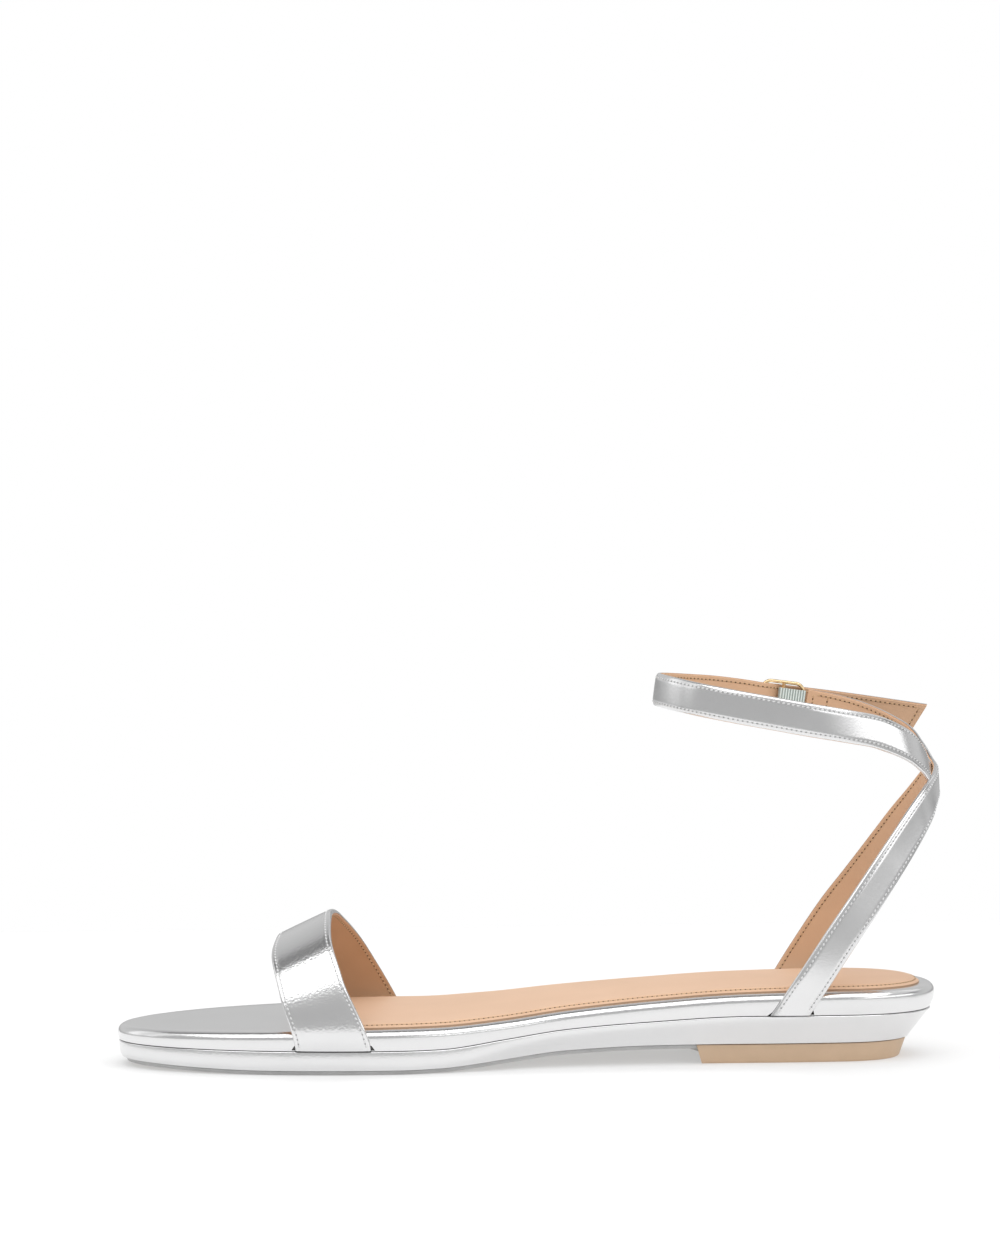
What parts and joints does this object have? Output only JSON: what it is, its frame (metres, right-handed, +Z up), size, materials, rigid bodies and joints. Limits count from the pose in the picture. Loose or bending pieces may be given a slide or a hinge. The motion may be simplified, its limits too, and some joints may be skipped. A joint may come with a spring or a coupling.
{
  "type": "flat sandal",
  "caption": "Flat sandal with a wide toe strap, a stacked low sole with a tan insole, and a narrow ankle strap that crosses behind the heel and closes with a side buckle.",
  "frame": {"origin": "middle of the sandal's box, on the floor that it stands on", "axes": "+Z up from the floor; +X along the sandal towards the heel, so the toe points to -X; +Y towards the lateral side"},
  "size_m": [0.2534, 0.0806, 0.1175],
  "materials": {
    "silver_leather": "mirror-metallic silver, fine grain",
    "tan_leather": "smooth matt",
    "sole_edge": "pale grey, satin",
    "lift_rubber": "beige, matt",
    "gold_metal": "polished pale gold",
    "elastic_band": "ribbed, pale grey-green"
  },
  "bodies": {
    "root": {"outsole": "sole_edge", "heel_lift": "lift_rubber", "lower_sole": "silver_leather", "midsole": "silver_leather", "insole": "tan_leather", "toe_strap": "silver_leather", "ankle_strap": "silver_leather", "elastic": "elastic_band", "buckle_frame": "gold_metal", "buckle_prong": "gold_metal"}
  },
  "joints": []
}
